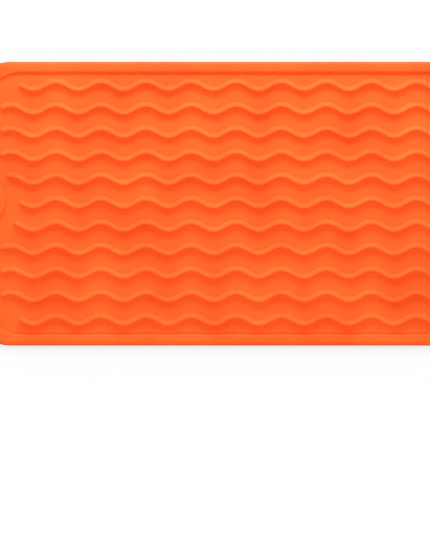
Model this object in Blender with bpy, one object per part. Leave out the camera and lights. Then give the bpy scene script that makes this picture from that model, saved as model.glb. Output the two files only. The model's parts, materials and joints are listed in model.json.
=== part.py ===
"""Roll-up silicone heat mat for hot hair tools: a long rounded sheet with a raised rim, a
shallow pocket full of wavy ribs, and a hanging hole in a raised round at one short end.

The moulding is first made whole. It is then divided along its bend lines into the rim, rib and
web bands that turn against each other when the mat is rolled up. Metres, +Z up, the underside
on Z = 0, the long side along X.
"""
import math

import bmesh
import bpy
from mathutils import Matrix

# Outline of the mat
MAT_LENGTH = 0.3048          # 12 inches, along X
MAT_WIDTH = 0.1651           # 6.5 inches, along Y
OUTER_CORNER = 0.0205
RIM_WIDTH = 0.0058
POCKET_CORNER = 0.022
ARC_STEPS = 8                # straight pieces in each quarter-round corner

# Heights above the underside
FIELD_HEIGHT = 0.0018        # floor of the pocket
RIM_HEIGHT = 0.0032          # rim and hanging round
RIB_HEIGHT = 0.0040          # crest of the ribs
HINGE_HEIGHT = 0.0009        # bending axis, at half the sheet's thickness

# Wavy ribs
RIB_ROWS = 11
RIB_PITCH = 0.01367
RIB_RADIUS = 0.0017
RIB_POINTS_PER_WAVE = 6
RIB_SIDES = 6                # of the bar's section, with a flat side up
WAVE_LENGTH = 0.0263
WAVE_SWING = 0.00235         # the rib's centre line swings this far each way
END_ROW_REACH = 0.1262       # half length of the first and last rib, clear of the corners
LONG_ROW_REACH = 0.1372      # half length of the others
SHORT_ROW_STARTS = {4: -0.1332, 5: -0.1262, 6: -0.1293}   # rows that stop short of the round
TIP_SCALE = 0.55             # the rib narrows to this at its very tip

# Hanging hole, in a raised round that grows out of the left rim
ROUND_X = -0.1485
ROUND_RADIUS = 0.0138
HOLE_X = -0.1444
HANGING_Y = 0.0013           # of the round and its hole
HOLE_RADIUS = 0.00325
ROUND_STEPS = 48
HOLE_STEPS = 24

# Bands that the moulding bends between
RIB_BAND_WIDTH = 0.0093
BAND_GAP = 0.0003            # between neighbours, at the bending axis
BAND_RELIEF = math.radians(15)   # each side leans back by this, above and below the axis

# How the mat rolls: a spiral whose radius grows from the near edge to the far one
ROLL_RADIUS = 0.0233         # of the bending axis, at the middle band
ROLL_GROWTH = 0.045          # added radius for each unit of distance across the mat

SILICONE_COLOR = (1.0, 0.127, 0.026, 1.0)
SILICONE_ROUGHNESS = 0.5
OVERSHOOT = 0.001            # how far the cutters stick out past what they cut


def clear_scene():
    for scene_object in list(bpy.data.objects):
        bpy.data.objects.remove(scene_object, do_unlink=True)


def new_collection(name):
    collection = bpy.data.collections.new(name)
    bpy.context.scene.collection.children.link(collection)
    return collection


def silicone():
    material = bpy.data.materials.new("orange_silicone")
    material.use_nodes = True
    shader = material.node_tree.nodes["Principled BSDF"]
    shader.inputs["Base Color"].default_value = SILICONE_COLOR
    shader.inputs["Roughness"].default_value = SILICONE_ROUGHNESS
    shader.inputs["Metallic"].default_value = 0.0
    material.diffuse_color = SILICONE_COLOR
    return material


def mesh_from_curve(curve_object, collection):
    """Replace a curve object with a closed mesh object of the same shape."""
    bpy.context.view_layer.update()
    evaluated = curve_object.evaluated_get(bpy.context.evaluated_depsgraph_get())
    mesh = bpy.data.meshes.new_from_object(evaluated)
    work = bmesh.new()
    work.from_mesh(mesh)
    bmesh.ops.remove_doubles(work, verts=work.verts, dist=0.00001)
    bmesh.ops.recalc_face_normals(work, faces=work.faces)
    work.to_mesh(mesh)
    work.free()
    name = curve_object.name
    place = curve_object.matrix_world.copy()
    bpy.data.objects.remove(curve_object, do_unlink=True)
    mesh_object = bpy.data.objects.new(name, mesh)
    mesh_object.matrix_world = place
    collection.objects.link(mesh_object)
    return mesh_object


def extruded_outline(name, points, low, high, collection):
    """A flat outline in the XY plane, extruded from low to high."""
    curve = bpy.data.curves.new(name, "CURVE")
    curve.dimensions = "2D"
    curve.fill_mode = "BOTH"
    curve.extrude = (high - low) / 2
    spline = curve.splines.new("POLY")
    spline.points.add(len(points) - 1)
    for point, (x, y) in zip(spline.points, points):
        point.co = (x, y, 0.0, 1.0)
    spline.use_cyclic_u = True
    curve_object = bpy.data.objects.new(name, curve)
    curve_object.location.z = (low + high) / 2
    collection.objects.link(curve_object)
    return mesh_from_curve(curve_object, collection)


def rounded_rectangle(length, width, radius):
    points = []
    corners = ((1, 1, 0), (-1, 1, 90), (-1, -1, 180), (1, -1, 270))
    for side_x, side_y, start in corners:
        centre_x = side_x * (length / 2 - radius)
        centre_y = side_y * (width / 2 - radius)
        for step in range(ARC_STEPS + 1):
            angle = math.radians(start + 90 * step / ARC_STEPS)
            points.append((centre_x + radius * math.cos(angle), centre_y + radius * math.sin(angle)))
    return points


def cylinder(name, x, radius, low, high, steps, collection):
    """An upright cylinder on the hanging hole's line along the mat."""
    mesh = bpy.data.meshes.new(name)
    work = bmesh.new()
    bmesh.ops.create_cone(work, cap_ends=True, segments=steps, radius1=radius, radius2=radius,
                          depth=high - low,
                          matrix=Matrix.Translation((x, HANGING_Y, (low + high) / 2)))
    work.to_mesh(mesh)
    work.free()
    cylinder_object = bpy.data.objects.new(name, mesh)
    collection.objects.link(cylinder_object)
    return cylinder_object


def combine(target, tool, operation):
    """Join, cut or trim the target with the tool, and use the tool up."""
    modifier = target.modifiers.new(operation.lower(), "BOOLEAN")
    modifier.operation = operation
    modifier.object = tool
    bpy.context.view_layer.update()
    evaluated = target.evaluated_get(bpy.context.evaluated_depsgraph_get())
    old_mesh = target.data
    new_mesh = bpy.data.meshes.new_from_object(evaluated)
    target.modifiers.clear()
    target.data = new_mesh
    target.data.name = target.name
    bpy.data.meshes.remove(old_mesh)
    bpy.data.objects.remove(tool, do_unlink=True)


def apply_place(scene_object, turn=Matrix.Identity(4)):
    """Move an object's place, and a turn about the world's origin, into its mesh."""
    bpy.context.view_layer.update()
    scene_object.data.transform(turn @ scene_object.matrix_world)
    scene_object.matrix_world = Matrix.Identity(4)


def row_y(row):
    """Middle of a rib row. Row 0 is nearest the far edge."""
    return ((RIB_ROWS - 1) / 2 - row) * RIB_PITCH


def rib_span(row):
    """First and last X of a rib."""
    reach = END_ROW_REACH if row in (0, RIB_ROWS - 1) else LONG_ROW_REACH
    return SHORT_ROW_STARTS.get(row, -reach), reach


def wavy_rib(row, collection):
    """One rib: a round bar along a cosine wave, half sunk in the sheet."""
    start, end = rib_span(row)
    steps = round((end - start) / WAVE_LENGTH * RIB_POINTS_PER_WAVE)
    curve = bpy.data.curves.new("rib", "CURVE")
    curve.dimensions = "3D"
    curve.bevel_depth = RIB_RADIUS
    curve.bevel_resolution = (RIB_SIDES - 4) // 2
    curve.use_fill_caps = True
    spline = curve.splines.new("POLY")
    spline.points.add(steps)
    for step, point in enumerate(spline.points):
        x = start + (end - start) * step / steps
        y = row_y(row) + WAVE_SWING * math.cos(math.tau * x / WAVE_LENGTH)
        point.co = (x, y, 0.0, 1.0)
        point.radius = TIP_SCALE if step in (0, steps) else 1.0
    rib = bpy.data.objects.new("rib", curve)
    rib.location.z = RIB_HEIGHT - RIB_RADIUS * math.cos(math.pi / RIB_SIDES)
    collection.objects.link(rib)
    return mesh_from_curve(rib, collection)


def whole_moulding(collection):
    """The mat in one piece: sheet, pocket, hanging round, ribs and hanging hole."""
    outline = rounded_rectangle(MAT_LENGTH, MAT_WIDTH, OUTER_CORNER)
    moulding = extruded_outline("moulding", outline, 0.0, RIM_HEIGHT, collection)

    inner = rounded_rectangle(MAT_LENGTH - 2 * RIM_WIDTH, MAT_WIDTH - 2 * RIM_WIDTH, POCKET_CORNER)
    pocket = extruded_outline("pocket", inner, FIELD_HEIGHT, RIM_HEIGHT + OVERSHOOT, collection)
    hanging_round = cylinder("hanging_round", ROUND_X, ROUND_RADIUS, 0.0,
                             RIM_HEIGHT + 2 * OVERSHOOT, ROUND_STEPS, collection)
    combine(pocket, hanging_round, "DIFFERENCE")
    combine(moulding, pocket, "DIFFERENCE")

    for row in range(RIB_ROWS):
        combine(moulding, wavy_rib(row, collection), "UNION")

    hole = cylinder("hole", HOLE_X, HOLE_RADIUS, -OVERSHOOT, RIM_HEIGHT + OVERSHOOT,
                    HOLE_STEPS, collection)
    combine(moulding, hole, "DIFFERENCE")
    apply_place(moulding)
    return moulding


def band_edges():
    """Name, near edge and far edge of every band, from the far rim to the near rim."""
    bands = []
    far_edge = MAT_WIDTH / 2
    for row in range(RIB_ROWS):
        top = row_y(row) + RIB_BAND_WIDTH / 2
        first = "rim_band_far" if row == 0 else f"web_band_{row:02d}"
        bands.append((first, top, far_edge))
        far_edge = row_y(row) - RIB_BAND_WIDTH / 2
        bands.append((f"rib_band_{row + 1:02d}", far_edge, top))
    bands.append(("rim_band_near", -MAT_WIDTH / 2, far_edge))
    return bands


def band_cutter(name, near, far, collection):
    """A long prism that is widest at the bending axis, so its neighbours can turn both ways.

    Only an edge shared with a neighbour leans back. The mat's own edge is left alone.
    """
    low = -OVERSHOOT
    high = RIB_HEIGHT + OVERSHOOT
    lean = math.tan(BAND_RELIEF)

    def side(y, direction):
        if abs(y) > MAT_WIDTH / 2 - BAND_GAP:
            outside = y + direction * OVERSHOOT
            return [(outside, z) for z in (low, HINGE_HEIGHT, high)]
        return [(y - direction * (BAND_GAP / 2 + lean * abs(z - HINGE_HEIGHT)), z)
                for z in (low, HINGE_HEIGHT, high)]

    profile = side(near, -1) + side(far, 1)[::-1]
    length = MAT_LENGTH / 2 + OVERSHOOT
    cutter = extruded_outline(name + "_cutter", profile, -length, length, collection)
    # The profile was drawn as (Y, Z): turn it so that it is extruded along X.
    apply_place(cutter, Matrix(((0, 0, 1, 0), (1, 0, 0, 0), (0, 1, 0, 0), (0, 0, 0, 1))))
    cutter.display_type = "WIRE"
    cutter.hide_render = True
    return cutter


def add_band(name, near, far, moulding, parts, cutters):
    """One band of the moulding, kept between a cutter's leaning sides by a modifier."""
    band = bpy.data.objects.new(name, moulding.data)
    modifier = band.modifiers.new("band", "BOOLEAN")
    modifier.operation = "INTERSECT"
    modifier.object = band_cutter(name, near, far, cutters)
    parts.objects.link(band)
    return band


def hinge_at(name, y, parent, collection):
    """An empty on a bend line. Turning it about X turns every band beyond it."""
    hinge = bpy.data.objects.new(name, None)
    hinge.empty_display_size = RIB_PITCH / 2
    hinge.location = (0.0, y, HINGE_HEIGHT)
    if parent is not None:
        hinge.parent = parent
        hinge.location -= world_place(parent)
    collection.objects.link(hinge)
    return hinge


def world_place(scene_object):
    """Sum of the locations up the chain. None of the hinges is turned."""
    place = scene_object.location.copy()
    while scene_object.parent is not None:
        scene_object = scene_object.parent
        place += scene_object.location
    return place


def hang_bands(bands, objects, collection):
    """Parent each band to a hinge on its inner edge, in two chains out from the middle."""
    middle = len(bands) // 2
    centre = hinge_at("middle", 0.0, None, collection)
    for outward in (-1, 1):
        parent = centre
        index = middle + outward
        while 0 <= index < len(bands):
            name, near, far = bands[index]       # a step outward is a step to the near edge
            inner_edge = far if outward > 0 else near
            parent = hinge_at("bend_of_" + name, inner_edge, parent, collection)
            limit_turn(parent, rolled_turn(inner_edge))
            objects[index].parent = parent
            objects[index].location = -world_place(parent)
            index += outward
    objects[middle].parent = centre
    objects[middle].location = -world_place(centre)


def rolled_turn(y):
    """Turn at a bend line when the mat is fully rolled. There are two bend lines to each rib."""
    return RIB_PITCH / 2 / (ROLL_RADIUS + ROLL_GROWTH * y)


def limit_turn(hinge, turn):
    """The mat rolls as far with its ribs inside as with its ribs outside."""
    limit = hinge.constraints.new("LIMIT_ROTATION")
    limit.owner_space = "LOCAL"
    limit.use_limit_x = True
    limit.min_x = -turn
    limit.max_x = turn


def build():
    clear_scene()
    parts = new_collection("silicone_heat_mat")
    cutters = new_collection("cutters")
    material = silicone()
    moulding = whole_moulding(cutters)
    moulding.data.materials.clear()
    moulding.data.materials.append(material)
    moulding.data.shade_smooth()
    moulding.data.set_sharp_from_angle(angle=math.radians(40))
    moulding.display_type = "WIRE"
    moulding.hide_render = True
    bands = band_edges()
    objects = [add_band(*band, moulding, parts, cutters) for band in bands]
    hang_bands(bands, objects, parts)


build()
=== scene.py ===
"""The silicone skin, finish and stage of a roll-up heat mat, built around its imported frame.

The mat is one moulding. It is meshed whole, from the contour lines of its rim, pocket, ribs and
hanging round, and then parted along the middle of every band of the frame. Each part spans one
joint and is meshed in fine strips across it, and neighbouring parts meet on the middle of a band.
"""
import json
import math

import bpy
import numpy as np
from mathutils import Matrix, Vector
from mathutils.geometry import delaunay_2d_cdt
from mathutils.kdtree import KDTree

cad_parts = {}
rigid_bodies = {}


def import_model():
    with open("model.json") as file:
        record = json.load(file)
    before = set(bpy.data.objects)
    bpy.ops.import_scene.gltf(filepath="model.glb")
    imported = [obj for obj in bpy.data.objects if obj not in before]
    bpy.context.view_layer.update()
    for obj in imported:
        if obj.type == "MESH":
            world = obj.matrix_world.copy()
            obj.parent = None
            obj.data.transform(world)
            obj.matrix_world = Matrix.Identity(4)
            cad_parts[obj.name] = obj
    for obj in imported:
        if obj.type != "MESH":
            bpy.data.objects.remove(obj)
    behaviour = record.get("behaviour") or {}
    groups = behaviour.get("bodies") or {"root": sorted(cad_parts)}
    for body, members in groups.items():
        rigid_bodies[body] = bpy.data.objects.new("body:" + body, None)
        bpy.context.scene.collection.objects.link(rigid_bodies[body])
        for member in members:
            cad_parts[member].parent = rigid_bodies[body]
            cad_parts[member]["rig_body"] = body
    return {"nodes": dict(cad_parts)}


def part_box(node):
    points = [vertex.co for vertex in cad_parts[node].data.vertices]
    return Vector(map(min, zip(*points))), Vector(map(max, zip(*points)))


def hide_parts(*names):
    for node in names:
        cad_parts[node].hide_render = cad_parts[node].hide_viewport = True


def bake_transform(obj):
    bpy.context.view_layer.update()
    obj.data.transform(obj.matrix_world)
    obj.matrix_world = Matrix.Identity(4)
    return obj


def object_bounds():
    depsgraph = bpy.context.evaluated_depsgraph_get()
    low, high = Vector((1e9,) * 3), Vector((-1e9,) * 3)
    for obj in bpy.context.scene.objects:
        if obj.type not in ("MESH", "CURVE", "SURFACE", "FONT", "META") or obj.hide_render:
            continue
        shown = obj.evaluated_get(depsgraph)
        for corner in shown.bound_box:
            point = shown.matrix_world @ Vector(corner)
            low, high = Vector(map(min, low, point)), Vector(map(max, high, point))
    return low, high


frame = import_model()
CAD_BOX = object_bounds()

bl_info = {
    "name": "Roll-up Silicone Heat Mat",
    "version": (1, 0, 0),
    "blender": (4, 5, 0),
    "location": "3D View > Sidebar > Heat Mat",
    "description": "Moulded silicone skin, finish and stage for a roll-up heat mat",
    "category": "Add Mesh",
}

MILLIMETRE = 0.001
WELD_GAP = 0.000002          # largest gap that the top and the underside are welded over
BEND_REACH = 0.002185        # of a joint's bend, each way: as far as the middle of a web band
BEND_STEPS = 6               # strips that the skin is divided into across a bend
UV_NAME = "flat"

SILICONE_IOR = 1.41          # of cured silicone rubber
SILICONE_SPECULAR = 0.27     # a blasted mould's face throws back less than a polished one
GRAIN_DEPTH = 0.018          # in millimetres
MOTTLE_DEPTH = 0.35          # in millimetres, from one soft patch of the sheet to the next
PIGMENT_RANGE = (0.35, 0.7)  # of the mottle, from the main colour to the deep one
SATIN_RANGE = (0.3, 0.7)     # of the mottle, from the glossier patches to the duller ones
SATIN_SPREAD = (-0.04, 0.05)  # added to the roughness over that range

FLOOR_WHITE = "FAFAFA"
FLOOR_SHADE = "F6F6F5"
FLOOR_MOTTLE = 40.0          # noise scale over the whole floor
FLOOR_ROUGHNESS = 0.7


# ---------------------------------------------------------------- sizes, colours and settings

def length_property(name, description, default):
    """A length in metres that a user can change."""
    return bpy.props.FloatProperty(name=name, description=description, default=default,
                                   min=0.0, precision=5, subtype="DISTANCE", unit="LENGTH")


class HeatMatSizes(bpy.types.PropertyGroup):
    """Sizes of the moulding. The length and width come from the frame."""

    outer_corner: length_property("Outer corner", "Radius of the mat's corners", 0.0205)
    rim_width: length_property("Rim width", "Width of the raised rim", 0.0058)
    pocket_corner: length_property("Pocket corner", "Radius of the pocket's corners", 0.022)
    field_height: length_property("Field height", "Thickness of the sheet in the pocket", 0.0018)
    rim_height: length_property("Rim height", "Thickness over the rim", 0.0032)
    rim_crown: length_property("Rim crown", "How much higher the rim is along its middle", 0.00025)
    rim_edge: length_property("Rim edge", "Rounding of the rim's outer top edge", 0.0014)
    foot_edge: length_property("Foot edge", "Rounding of the underside's edge", 0.0004)
    step_crest: length_property("Step crest", "Rounding at the top of the pocket's wall", 0.0004)
    step_foot: length_property("Step foot", "Fillet at the bottom of the pocket's wall", 0.0005)
    groove_width: length_property("Groove width", "Of the line round the pocket's floor", 0.0009)
    groove_depth: length_property("Groove depth", "Of the line round the pocket's floor", 0.0004)
    rib_height: length_property("Rib height", "Thickness over the ribs", 0.0040)
    rib_crest: length_property("Rib crest", "Radius of a rib's rounded top", 0.0012)
    rib_foot: length_property("Rib foot", "Fillet where a rib meets the field", 0.0016)
    rib_pitch: length_property("Rib pitch", "Distance from one rib to the next", 0.01367)
    wave_length: length_property("Wave length", "Length of one wave of a rib", 0.0263)
    wave_swing: length_property("Wave swing", "How far a rib swings each way", 0.00235)
    end_row_reach: length_property("End row reach", "Half length of the outermost ribs", 0.1262)
    long_row_reach: length_property("Long row reach", "Half length of the other ribs", 0.1372)
    short_row_starts: bpy.props.FloatVectorProperty(
        name="Short row starts", description="Where the middle ribs stop short of the round",
        size=3, default=(-0.1332, -0.1262, -0.1293), precision=5, unit="LENGTH")
    round_radius: length_property("Round radius", "Radius of the raised hanging round", 0.0138)
    round_inset: length_property("Round inset", "From the short edge to the round's centre", 0.0039)
    hole_radius: length_property("Hole radius", "Radius of the hanging hole", 0.00325)
    hole_inset: length_property("Hole inset", "From the short edge to the hole's centre", 0.008)
    hanging_y: length_property("Hanging Y", "Y of the hanging round and its hole", 0.0013)
    rib_rows: bpy.props.IntProperty(name="Rib rows", description="Number of ribs",
                                    default=11, min=1)
    draft: bpy.props.FloatProperty(name="Draft", description="Lean of the moulded walls",
                                   default=math.radians(12), subtype="ANGLE", unit="ROTATION")


class HeatMatFinish(bpy.types.PropertyGroup):
    """Finish of the silicone. Colours are sRGB hex values."""

    orange: bpy.props.StringProperty(name="Orange", description="Main pigment colour, sRGB hex",
                                     default="FA5D1D")
    deep_orange: bpy.props.StringProperty(name="Deep orange", default="F65219",
                                          description="Colour where pigment is denser, sRGB hex")
    roughness: bpy.props.FloatProperty(name="Roughness", description="Satin of the mould's face",
                                       default=0.80, min=0.0, max=1.0, subtype="FACTOR")
    grain: length_property("Grain", "Size of the grain left by the blasted mould", 0.0007)
    mottle: length_property("Mottle", "Size of the soft patches in colour and gloss", 0.030)


class HeatMatStage(bpy.types.PropertyGroup):
    """Camera, lights and floor."""

    aim: bpy.props.FloatVectorProperty(name="Aim", size=2, default=(-0.0124, -0.0378),
                                       description="Where the camera looks, from the mat's middle",
                                       subtype="XYZ", unit="LENGTH")
    camera_height: length_property("Camera height", "Height of the camera over the floor", 2.612)
    lens: bpy.props.FloatProperty(name="Lens", description="Focal length in millimetres",
                                  default=300.0, min=1.0)
    floor_size: length_property("Floor size", "Side of the floor", 6.0)
    slot_length: length_property("Slot length", "Of the slot under the mat", 0.278)
    slot_width: length_property("Slot width", "Of the slot under the mat", 0.0526)
    room_light: bpy.props.FloatProperty(name="Room light", default=1.0, min=0.0,
                                        description="Brightness of the pale surroundings")
    key_place: bpy.props.FloatVectorProperty(name="Key place", size=3, default=(0.0, 0.45, 0.19),
                                             description="Where the soft light stands",
                                             subtype="XYZ", unit="LENGTH")
    key_size: bpy.props.FloatVectorProperty(name="Key size", size=2, default=(0.7, 0.13),
                                            description="Length and height of the soft light",
                                            unit="LENGTH")
    key_power: bpy.props.FloatProperty(name="Key power", default=3.8, min=0.0, unit="POWER",
                                       description="Power of the soft light beyond the far edge")


# ---------------------------------------------------------------- outlines and distances

def rounded_box_distance(x, y, half_x, half_y, radius):
    """Distance to a rounded rectangle's edge, negative inside it."""
    over_x = np.abs(x) - (half_x - radius)
    over_y = np.abs(y) - (half_y - radius)
    outside = np.hypot(np.maximum(over_x, 0.0), np.maximum(over_y, 0.0))
    return outside + np.minimum(np.maximum(over_x, over_y), 0.0) - radius


def rounded_box_loop(half_x, half_y, radius, steps=14):
    """Points round a rounded rectangle, anticlockwise from the right."""
    points = []
    for side_x, side_y, start in ((1, 1, 0), (-1, 1, 90), (-1, -1, 180), (1, -1, 270)):
        for step in range(steps + 1):
            angle = math.radians(start + 90 * step / steps)
            points.append((side_x * (half_x - radius) + radius * math.cos(angle),
                           side_y * (half_y - radius) + radius * math.sin(angle)))
    return points


def circle_loop(x, y, radius, steps):
    """Points round a circle, anticlockwise from the right."""
    angles = [math.tau * step / steps for step in range(steps)]
    return [(x + radius * math.cos(angle), y + radius * math.sin(angle)) for angle in angles]


def inside_loop(x, y, loop):
    """Whether each point lies inside a closed loop, by the loop's edges that it has to its right."""
    corners = np.array(loop)
    crossings = np.zeros(len(x), int)
    for (x0, y0), (x1, y1) in zip(corners, np.roll(corners, -1, axis=0)):
        spans = (y0 > y) != (y1 > y)
        crossings[spans] += x[spans] < x0 + (x1 - x0) * (y[spans] - y0) / (y1 - y0)
    return crossings % 2 == 1


def moulded_step(height, crest, foot, draft, crest_steps, foot_steps):
    """(distance, height) down a moulded wall: a rounded crest, a drafted flank and a fillet.

    Where the crest and the fillet are too large for a flank between them, they meet.
    """
    lean = min(math.pi / 2 - draft, math.acos(max(-1.0, 1 - height / (crest + foot))))
    flank = (height - crest + crest * math.cos(lean) - foot * (1 - math.cos(lean))) / math.sin(lean)
    run = (crest + foot) * math.sin(lean) + flank * math.cos(lean)
    profile = []
    for step in range(crest_steps + 1):
        angle = lean * step / crest_steps
        profile.append((crest * math.sin(angle), height - crest * (1 - math.cos(angle))))
    for step in range(foot_steps + 1):
        angle = lean * (1 - step / foot_steps)
        profile.append((run - foot * math.sin(angle), foot * (1 - math.cos(angle))))
    return profile


class Moulding:
    """The mat's shape: height at any point, and the contour lines that the mesh follows."""

    WAVE_STEPS = 14          # points along one wave of a rib
    EDGE_STEPS = 4           # rings in a rounded edge
    CROWN_STEPS = 4          # strips across the crown of the rim
    NEWTON_STEPS = 5         # enough for a rib's distance to settle
    LEAST_GRADIENT = 0.3     # keeps Newton's method steady far from a rib

    def __init__(self, sizes, low, high):
        self.sizes = sizes
        self.half_x = (high.x - low.x) / 2
        self.half_y = (high.y - low.y) / 2
        self.wave_rate = math.tau / sizes.wave_length
        self.round_x = sizes.round_inset - self.half_x
        self.hole_x = sizes.hole_inset - self.half_x
        self.rib = moulded_step(sizes.rib_height - sizes.field_height, sizes.rib_crest,
                                sizes.rib_foot, sizes.draft, crest_steps=5, foot_steps=5)
        self.step = moulded_step(sizes.rim_height - sizes.field_height, sizes.step_crest,
                                 sizes.step_foot, sizes.draft, crest_steps=4, foot_steps=4)
        # The wall of the pocket is centred on the inner edge of the rim, with a groove at its foot.
        self.wall_run = self.step[-1][0]
        self.pocket_inset = sizes.rim_width - self.wall_run / 2
        self.step += [(self.wall_run + sizes.groove_width / 2, -sizes.groove_depth),
                      (self.wall_run + sizes.groove_width, 0.0)]

    def row_y(self, row):
        """Y of a rib's middle. Row 0 is at the far edge."""
        return ((self.sizes.rib_rows - 1) / 2 - row) * self.sizes.rib_pitch

    def rib_span(self, row):
        """First and last X of a rib's centre line, measured to the ends of its rounded tips."""
        sizes = self.sizes
        outermost = row in (0, sizes.rib_rows - 1)
        end = sizes.end_row_reach if outermost else sizes.long_row_reach
        start = -end
        first_short = (sizes.rib_rows - len(sizes.short_row_starts)) // 2
        if 0 <= row - first_short < len(sizes.short_row_starts):
            start = sizes.short_row_starts[row - first_short]
        return start + sizes.rib_crest, end - sizes.rib_crest

    def rib_distance(self, x, y, row):
        """Distance to a rib's centre line, found by Newton's method along the wave."""
        start, end = self.rib_span(row)
        swing, rate, middle = self.sizes.wave_swing, self.wave_rate, self.row_y(row)
        nearest = np.clip(x, start, end)
        for _ in range(self.NEWTON_STEPS):
            height = middle + swing * np.cos(rate * nearest)
            slope = -swing * rate * np.sin(rate * nearest)
            curve = -swing * rate ** 2 * np.cos(rate * nearest)
            error = nearest - x + (height - y) * slope
            gradient = 1 + slope ** 2 + (height - y) * curve
            nearest = nearest - error / np.maximum(gradient, self.LEAST_GRADIENT)
            nearest = np.clip(nearest, start, end)
        return np.hypot(x - nearest, y - middle - swing * np.cos(rate * nearest))

    def edge_drop(self, distance, radius):
        """How far a rounded edge falls away, at a distance in from the outline."""
        inward = np.clip(radius - distance, 0.0, radius)
        return radius - np.sqrt(radius ** 2 - inward ** 2)

    def edge_distance(self, x, y):
        """Distance in from the outline or the hole, whichever is nearer."""
        outline = -rounded_box_distance(x, y, self.half_x, self.half_y, self.sizes.outer_corner)
        hole = np.hypot(x - self.hole_x, y - self.sizes.hanging_y) - self.sizes.hole_radius
        return np.minimum(outline, hole)

    def top(self, x, y):
        """Height of the ribbed face."""
        sizes = self.sizes
        wall = -rounded_box_distance(x, y, self.half_x - self.pocket_inset,
                                     self.half_y - self.pocket_inset, sizes.pocket_corner)
        hanging_round = np.hypot(x - self.round_x, y - sizes.hanging_y) - sizes.round_radius
        into_pocket = np.minimum(wall, hanging_round + self.wall_run / 2)
        rise = np.interp(into_pocket, *zip(*self.step))
        # The rim is crowned, but levels out where it joins the hanging round.
        outline = -rounded_box_distance(x, y, self.half_x, self.half_y, sizes.outer_corner)
        off_middle = np.minimum(np.abs(2 * outline / sizes.rim_width - 1), 1.0)
        crowned = np.clip(hanging_round / sizes.rim_width, 0.0, 1.0) * rise / self.step[0][1]
        rise -= sizes.rim_crown * off_middle ** 2 * np.maximum(crowned, 0.0)
        for row in range(sizes.rib_rows):
            near = np.abs(y - self.row_y(row)) < sizes.rib_pitch / 2
            distance = self.rib_distance(x[near], y[near], row)
            rise[near] = np.maximum(rise[near], np.interp(distance, *zip(*self.rib)))
        return sizes.field_height + rise - self.edge_drop(self.edge_distance(x, y), sizes.rim_edge)

    def underside(self, x, y):
        """Height of the flat face below, which only its rounded edges lift off the floor."""
        return self.edge_drop(self.edge_distance(x, y), self.sizes.foot_edge)

    def edge_rings(self, radius):
        """Loops that a rounded edge follows, in from the outline and out from the hole."""
        loops = []
        for step in range(self.EDGE_STEPS + 1):
            inset = radius * (1 - math.cos(math.pi / 2 * step / self.EDGE_STEPS))
            loops.append(rounded_box_loop(self.half_x - inset, self.half_y - inset,
                                          self.sizes.outer_corner - inset))
            loops.append(circle_loop(self.hole_x, self.sizes.hanging_y,
                                     self.sizes.hole_radius + inset, steps=32))
        return loops

    def crown_loops(self):
        """Loops round the rim, between its rounded outer edge and the wall of the pocket."""
        low, high = self.sizes.rim_edge, self.pocket_inset
        insets = [low + (high - low) * step / self.CROWN_STEPS
                  for step in range(1, self.CROWN_STEPS)]
        return [rounded_box_loop(self.half_x - inset, self.half_y - inset,
                                 self.sizes.outer_corner - inset) for inset in insets]

    def pocket_loops(self, arc_steps=40):
        """Loops down the pocket's wall. Each leaves the short edge to pass round the hanging hole."""
        loops = []
        for distance, _ in self.step:
            inset = self.pocket_inset + distance
            box = rounded_box_loop(self.half_x - inset, self.half_y - inset,
                                   self.sizes.pocket_corner - distance)
            radius = self.sizes.round_radius + distance - self.wall_run / 2
            meeting = math.acos((inset - self.half_x - self.round_x) / radius)
            turns = [meeting * (1 - 2 * step / arc_steps) for step in range(arc_steps + 1)]
            arc = [(self.round_x + radius * math.cos(turn),
                    self.sizes.hanging_y + radius * math.sin(turn)) for turn in turns]
            middle = len(box) // 2
            loops.append(box[:middle] + arc + box[middle:])
        return loops

    def rib_loop(self, row, distance, tip_steps=8):
        """A line at one distance from a rib's centre line, closed round its tips."""
        start, end = self.rib_span(row)
        swing, rate = self.sizes.wave_swing, self.wave_rate
        steps = round((end - start) / self.sizes.wave_length * self.WAVE_STEPS)
        along = [start + (end - start) * step / steps for step in range(steps + 1)]

        def offset(x, turn):
            heading = math.atan(-swing * rate * math.sin(rate * x)) + turn
            return (x + distance * math.cos(heading),
                    self.row_y(row) + swing * math.cos(rate * x) + distance * math.sin(heading))

        far_side = [offset(x, math.pi / 2) for x in along]
        if distance == 0.0:
            return far_side
        near_side = [offset(x, -math.pi / 2) for x in reversed(along)]
        turns = [math.pi * step / tip_steps - math.pi / 2 for step in range(1, tip_steps)]
        right_tip = [offset(end, -turn) for turn in turns]
        left_tip = [offset(start, math.pi - turn) for turn in turns]
        return far_side + right_tip + near_side + left_tip


# ---------------------------------------------------------------- meshing

class Lines:
    """Lines that the triangles must follow, gathered for one triangulation."""

    def __init__(self):
        self.points = []
        self.edges = []

    def add(self, points, closed=True):
        """Add a line through these points. A closed one also joins its last to its first."""
        first = len(self.points)
        self.points.extend(Vector(point) for point in points)
        last = len(self.points) - 1
        self.edges.extend((i, i + 1) for i in range(first, last))
        if closed:
            self.edges.append((last, first))

    def triangulate(self, tolerance=2e-7):
        """The points and the triangles of a flat mesh that has all the lines as edges."""
        points, _, faces, *_ = delaunay_2d_cdt(self.points, self.edges, [], 0, tolerance)
        flat = np.array([point[:] for point in points])
        return flat, np.array(faces)


class Band:
    """One band of the frame: its node, its body, and its edges and middle across the mat."""

    def __init__(self, node):
        low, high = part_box(node)
        self.node = node
        self.body = frame["nodes"][node]["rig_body"]
        self.near_edge = low.y
        self.far_edge = high.y
        self.middle = (low.y + high.y) / 2


def bands_near_to_far():
    """Every band of the frame, in its order across the mat."""
    return sorted((Band(node) for node in frame["nodes"]), key=lambda band: band.middle)


def joint_y(near, far):
    """Where the joint between two neighbouring bands lies."""
    return (near.far_edge + far.near_edge) / 2


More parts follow.
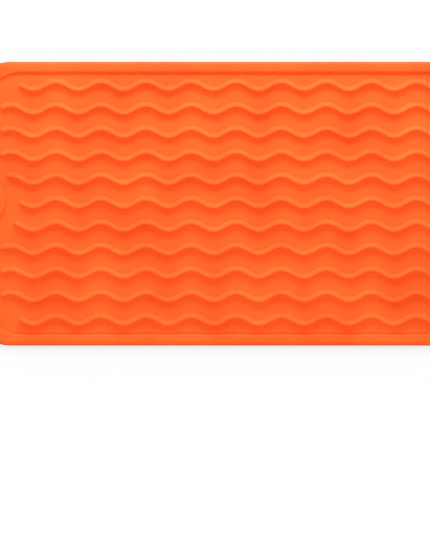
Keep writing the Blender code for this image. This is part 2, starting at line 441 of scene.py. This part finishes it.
def bend_lines(bands, edge):
    """Lines along the mat, past both short edges: across every bend, and where it is parted."""
    across = [band.middle for band in bands[1:-1] if band.node.startswith("rib_band")]
    for near, far in zip(bands, bands[1:]):
        joint = joint_y(near, far)
        across += [joint + BEND_REACH * (2 * step / BEND_STEPS - 1)
                   for step in range(BEND_STEPS + 1)]
    return [[(-edge, y), (edge, y)] for y in across]


def boundary(faces):
    """Edges that only one triangle has, in that triangle's own direction."""
    edges = {}
    for face in faces:
        for a, b in zip(face, np.roll(face, -1)):
            if (b, a) in edges:
                del edges[b, a]
            else:
                edges[a, b] = True
    return list(edges)


def closed_skin(moulding, bands):
    """Points and faces of the whole mat: its top, its underside and the walls between."""
    top_lines = Lines()
    rings = moulding.edge_rings(moulding.sizes.rim_edge)
    for loop in rings + moulding.crown_loops() + moulding.pocket_loops():
        top_lines.add(loop)
    for row in range(moulding.sizes.rib_rows):
        for distance, _ in moulding.rib:
            top_lines.add(moulding.rib_loop(row, distance), closed=distance > 0)

    under_lines = Lines()
    for loop in moulding.edge_rings(moulding.sizes.foot_edge):
        under_lines.add(loop)
    for line in bend_lines(bands, edge=moulding.half_x + MILLIMETRE):
        top_lines.add(line, closed=False)
        under_lines.add(line, closed=False)

    sheets = []
    for lines, height in ((top_lines, moulding.top), (under_lines, moulding.underside)):
        flat, faces = lines.triangulate()
        x, y = flat[faces].mean(axis=1).T
        outline, hole = moulding.edge_rings(0.0)[:2]
        faces = faces[inside_loop(x, y, outline) & ~inside_loop(x, y, hole)]
        used, faces = np.unique(faces, return_inverse=True)
        flat = flat[used]
        rise = height(flat[:, 0], flat[:, 1])
        sheets.append((np.column_stack((flat, rise)), faces.reshape(-1, 3)))
    (top, top_faces), (under, under_faces) = sheets

    twins = KDTree(len(under))
    for index, point in enumerate(under):
        twins.insert((point[0], point[1], 0.0), index)
    twins.balance()
    below = {}
    for a, b in boundary(top_faces):
        for corner in (a, b):
            _, index, gap = twins.find((top[corner][0], top[corner][1], 0.0))
            if gap > WELD_GAP:
                raise RuntimeError(f"the top's edge misses the underside's by {gap} m")
            below[corner] = index + len(top)
    walls = [(a, below[a], below[b], b) for a, b in boundary(top_faces)]
    faces = [tuple(face) for face in top_faces] + walls
    faces += [tuple(face[::-1] + len(top)) for face in under_faces]
    return np.vstack((top, under)), faces


def smooth_normals(points, faces):
    """A normal for each point, led by the larger faces, so that flats stay flat."""
    normals = np.zeros_like(points)
    for count in (3, 4):
        group = np.array([face for face in faces if len(face) == count])
        corners = points[group]
        # The cross product of a quad's diagonals, or of a triangle's two sides.
        facing = np.cross(corners[:, 2] - corners[:, 0], corners[:, -1] - corners[:, 1])
        for corner in range(count):
            np.add.at(normals, group[:, corner], facing)
    return normals / np.linalg.norm(normals, axis=1, keepdims=True)


def add_skin_part(name, points, faces, normals, mat_length, material):
    """One part of the skin, shaded as the whole is, with its flat place on the mat as its UV."""
    used = np.unique(np.concatenate([np.array(face) for face in faces]))
    place = {old: new for new, old in enumerate(used)}
    mesh = bpy.data.meshes.new(name)
    mesh.from_pydata(points[used].tolist(), [], [[place[i] for i in face] for face in faces])
    mesh.materials.append(material)
    mesh.shade_smooth()
    flat = mesh.uv_layers.new(name=UV_NAME)
    corners = np.zeros(len(mesh.loops), int)
    mesh.loops.foreach_get("vertex_index", corners)
    flat.data.foreach_set("uv", (points[used][corners][:, :2] / mat_length + 0.5).ravel())
    mesh.normals_split_custom_set_from_vertices(normals[used].tolist())
    part = bpy.data.objects.new(name, mesh)
    bpy.context.scene.collection.objects.link(part)
    return part


# ---------------------------------------------------------------- materials

def linear_colour(code):
    """An sRGB hex colour as linear red, green, blue and alpha."""
    channels = [int(code[i:i + 2], 16) / 255 for i in (0, 2, 4)]
    return [c / 12.92 if c <= 0.04045 else ((c + 0.055) / 1.055) ** 2.4 for c in channels] + [1.0]


def add_node(tree, kind, inputs=(), **settings):
    """Add a node, set it up, and give each input a value or a link from another node."""
    node = tree.nodes.new(kind)
    for name, value in settings.items():
        setattr(node, name, value)
    for socket, value in dict(inputs).items():
        if isinstance(value, bpy.types.NodeSocket):
            tree.links.new(value, node.inputs[socket])
        else:
            node.inputs[socket].default_value = value
    return node


def new_material(name):
    """A material with an empty node tree, and that tree."""
    material = bpy.data.materials.new(name)
    material.use_nodes = True
    material.node_tree.nodes.clear()
    return material, material.node_tree


def moulded_silicone_rubber(finish, mat_length):
    """Platinum-cured silicone rubber, pressed in a fine-blasted steel mould.

    It is pigmented right through, so its edges are the same orange. The blasted mould leaves a
    satin face with broad, soft highlights, and the pigment is never quite even.
    """
    material, tree = new_material("moulded_silicone_rubber")
    flat = add_node(tree, "ShaderNodeUVMap", uv_map=UV_NAME)
    place = add_node(tree, "ShaderNodeVectorMath", operation="SCALE",
                     inputs={"Vector": flat.outputs["UV"], "Scale": mat_length})
    # Real blast grain is about 0.1 mm. It is drawn coarser, so that it shows at all.
    grain = add_node(tree, "ShaderNodeTexNoise",
                     inputs={"Vector": place.outputs["Vector"], "Scale": 1 / finish.grain,
                             "Detail": 2.0, "Roughness": 0.6})
    mottle = add_node(tree, "ShaderNodeTexNoise",
                      inputs={"Vector": place.outputs["Vector"], "Scale": 1 / finish.mottle,
                              "Detail": 3.0, "Roughness": 0.55})
    density = add_node(tree, "ShaderNodeMapRange",
                       inputs={"Value": mottle.outputs["Fac"],
                               "From Min": PIGMENT_RANGE[0], "From Max": PIGMENT_RANGE[1]})
    pigment = add_node(tree, "ShaderNodeMix", data_type="RGBA",
                       inputs={"Factor": density.outputs["Result"],
                               "A": linear_colour(finish.orange),
                               "B": linear_colour(finish.deep_orange)})
    satin = add_node(tree, "ShaderNodeMapRange",
                     inputs={"Value": mottle.outputs["Fac"],
                             "From Min": SATIN_RANGE[0], "From Max": SATIN_RANGE[1],
                             "To Min": finish.roughness + SATIN_SPREAD[0],
                             "To Max": finish.roughness + SATIN_SPREAD[1]})
    # Heights in millimetres: the grain is shallow, and the soft sheet is never dead flat.
    grain_height = add_node(tree, "ShaderNodeMath", operation="MULTIPLY",
                            inputs={0: grain.outputs["Fac"], 1: GRAIN_DEPTH})
    height = add_node(tree, "ShaderNodeMath", operation="MULTIPLY_ADD",
                      inputs={0: mottle.outputs["Fac"], 1: MOTTLE_DEPTH,
                              2: grain_height.outputs["Value"]})
    bump = add_node(tree, "ShaderNodeBump",
                    inputs={"Height": height.outputs["Value"], "Strength": 1.0,
                            "Distance": MILLIMETRE})
    shader = add_node(tree, "ShaderNodeBsdfPrincipled",
                      inputs={"Base Color": pigment.outputs["Result"],
                              "Roughness": satin.outputs["Result"], "IOR": SILICONE_IOR,
                              "Specular IOR Level": SILICONE_SPECULAR,
                              "Normal": bump.outputs["Normal"]})
    add_node(tree, "ShaderNodeOutputMaterial", inputs={"Surface": shader.outputs["BSDF"]})
    return material


def matte_white_laminate():
    """White melamine laminate, pressed between matte plates: pale, even and without gloss."""
    material, tree = new_material("matte_white_laminate")
    mottle = add_node(tree, "ShaderNodeTexNoise", inputs={"Scale": FLOOR_MOTTLE, "Detail": 2.0})
    white = add_node(tree, "ShaderNodeMix", data_type="RGBA",
                     inputs={"Factor": mottle.outputs["Fac"], "A": linear_colour(FLOOR_SHADE),
                             "B": linear_colour(FLOOR_WHITE)})
    shader = add_node(tree, "ShaderNodeBsdfPrincipled",
                      inputs={"Base Color": white.outputs["Result"],
                              "Roughness": FLOOR_ROUGHNESS})
    add_node(tree, "ShaderNodeOutputMaterial", inputs={"Surface": shader.outputs["BSDF"]})
    return material


# ---------------------------------------------------------------- operators

class HEATMAT_OT_add_skin(bpy.types.Operator):
    """Add the moulded silicone skin, parted on the middle of every band and meshed finely across the
    joints
    """

    bl_idname = "heat_mat.add_skin"
    bl_label = "Add Silicone Skin"

    def execute(self, context):
        low, high = CAD_BOX
        moulding = Moulding(context.scene.heat_mat_sizes, low, high)
        mat_length = high.x - low.x
        material = moulded_silicone_rubber(context.scene.heat_mat_finish, mat_length)
        bands = bands_near_to_far()
        points, faces = closed_skin(moulding, bands)
        normals = smooth_normals(points, faces)
        partings = [band.middle for band in bands[1:-1]]
        middles = [points[list(face), 1].mean() for face in faces]
        owners = np.searchsorted(partings, middles)
        for index, (near, far) in enumerate(zip(bands, bands[1:])):
            own_faces = [face for face, owner in zip(faces, owners) if owner == index]
            part = add_skin_part(f"silicone_skin_{index + 1:02d}", points, own_faces, normals,
                                 mat_length, material)
            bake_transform(part)
            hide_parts(near.node)
            if far is bands[-1]:
                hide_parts(far.node)
        return {"FINISHED"}


class HEATMAT_OT_add_stage(bpy.types.Operator):
    """Add the pale floor, the soft studio light and the camera"""

    bl_idname = "heat_mat.add_stage"
    bl_label = "Add Stage"

    def execute(self, context):
        settings = context.scene.heat_mat_stage
        floor = add_floor(settings.floor_size, settings.slot_length, settings.slot_width)
        add_room_light(context.scene, settings.room_light)
        add_soft_light("key_light", settings.key_place, settings.key_size, settings.key_power,
                       floor)
        add_camera(context.scene, settings)
        context.scene.view_settings.view_transform = "Standard"
        return {"FINISHED"}


def add_floor(size, slot_length, slot_width):
    """A floor with a slot under the middle of the mat, which lies over it and hides it.

    The mat's middle band never moves, so a mat rolled with its ribs outside hangs below the
    floor's level. The slot lets it be seen. The floor takes shadows, but shades nothing.
    """
    lines = Lines()
    for length, width in ((size, size), (slot_length, slot_width)):
        lines.add([(length / 2, width / 2), (-length / 2, width / 2),
                   (-length / 2, -width / 2), (length / 2, -width / 2)])
    flat, faces = lines.triangulate()
    middle = np.abs(flat[faces].mean(axis=1))
    faces = faces[(middle[:, 0] > slot_length / 2) | (middle[:, 1] > slot_width / 2)]
    mesh = bpy.data.meshes.new("floor")
    mesh.from_pydata([(x, y, 0.0) for x, y in flat], [], faces.tolist())
    mesh.materials.append(matte_white_laminate())
    floor = bpy.data.objects.new("floor", mesh)
    bpy.context.scene.collection.objects.link(floor)
    floor.is_shadow_catcher = True
    floor.visible_shadow = False
    floor.visible_diffuse = False
    floor.visible_glossy = False
    return floor


def add_room_light(scene, strength):
    """Even white surroundings, as in a light tent."""
    world = bpy.data.worlds.new("pale_room")
    world.use_nodes = True
    world.node_tree.nodes["Background"].inputs["Color"].default_value = linear_colour("FFFFFF")
    world.node_tree.nodes["Background"].inputs["Strength"].default_value = strength
    scene.world = world


def add_soft_light(name, place, size, power, floor):
    """A wide, low soft box that faces the middle of the mat, and leaves the floor alone."""
    light = bpy.data.lights.new(name, "AREA")
    light.shape = "RECTANGLE"
    light.size, light.size_y = size
    light.energy = power
    lamp = bpy.data.objects.new(name, light)
    lamp.location = place
    lamp.rotation_euler = (-Vector(place)).to_track_quat("-Z", "Y").to_euler()
    bpy.context.scene.collection.objects.link(lamp)
    unlit = bpy.data.collections.new("unlit_by_" + name)
    unlit.objects.link(floor)
    unlit.collection_objects[0].light_linking.link_state = "EXCLUDE"
    lamp.light_linking.receiver_collection = unlit


def add_camera(scene, settings):
    """A long lens straight overhead, with the far edge of the mat at the top."""
    camera = bpy.data.cameras.new("camera")
    camera.lens = settings.lens
    camera.clip_end = 2 * settings.camera_height
    stand = bpy.data.objects.new("camera", camera)
    stand.location = (settings.aim[0], settings.aim[1], settings.camera_height)
    scene.collection.objects.link(stand)
    scene.camera = stand


# ---------------------------------------------------------------- panel and registration

class HEATMAT_PT_panel(bpy.types.Panel):
    """Sizes, finish and stage of the heat mat"""

    bl_idname = "HEATMAT_PT_panel"
    bl_label = "Heat Mat"
    bl_space_type = "VIEW_3D"
    bl_region_type = "UI"
    bl_category = "Heat Mat"

    def draw(self, context):
        scene = context.scene
        for settings in (scene.heat_mat_sizes, scene.heat_mat_finish):
            self.draw_settings(settings)
        self.layout.operator(HEATMAT_OT_add_skin.bl_idname)
        self.draw_settings(scene.heat_mat_stage)
        self.layout.operator(HEATMAT_OT_add_stage.bl_idname)

    def draw_settings(self, settings):
        column = self.layout.column(align=True)
        for name in settings.__annotations__:
            column.prop(settings, name)


CLASSES = (HeatMatSizes, HeatMatFinish, HeatMatStage, HEATMAT_OT_add_skin, HEATMAT_OT_add_stage,
           HEATMAT_PT_panel)


def register():
    for item in CLASSES:
        bpy.utils.register_class(item)
    bpy.types.Scene.heat_mat_sizes = bpy.props.PointerProperty(type=HeatMatSizes)
    bpy.types.Scene.heat_mat_finish = bpy.props.PointerProperty(type=HeatMatFinish)
    bpy.types.Scene.heat_mat_stage = bpy.props.PointerProperty(type=HeatMatStage)


def unregister():
    del bpy.types.Scene.heat_mat_stage
    del bpy.types.Scene.heat_mat_finish
    del bpy.types.Scene.heat_mat_sizes
    for item in reversed(CLASSES):
        bpy.utils.unregister_class(item)


def main():
    register()
    bpy.ops.heat_mat.add_skin()
    bpy.ops.heat_mat.add_stage()


if __name__ == "__main__":
    main()
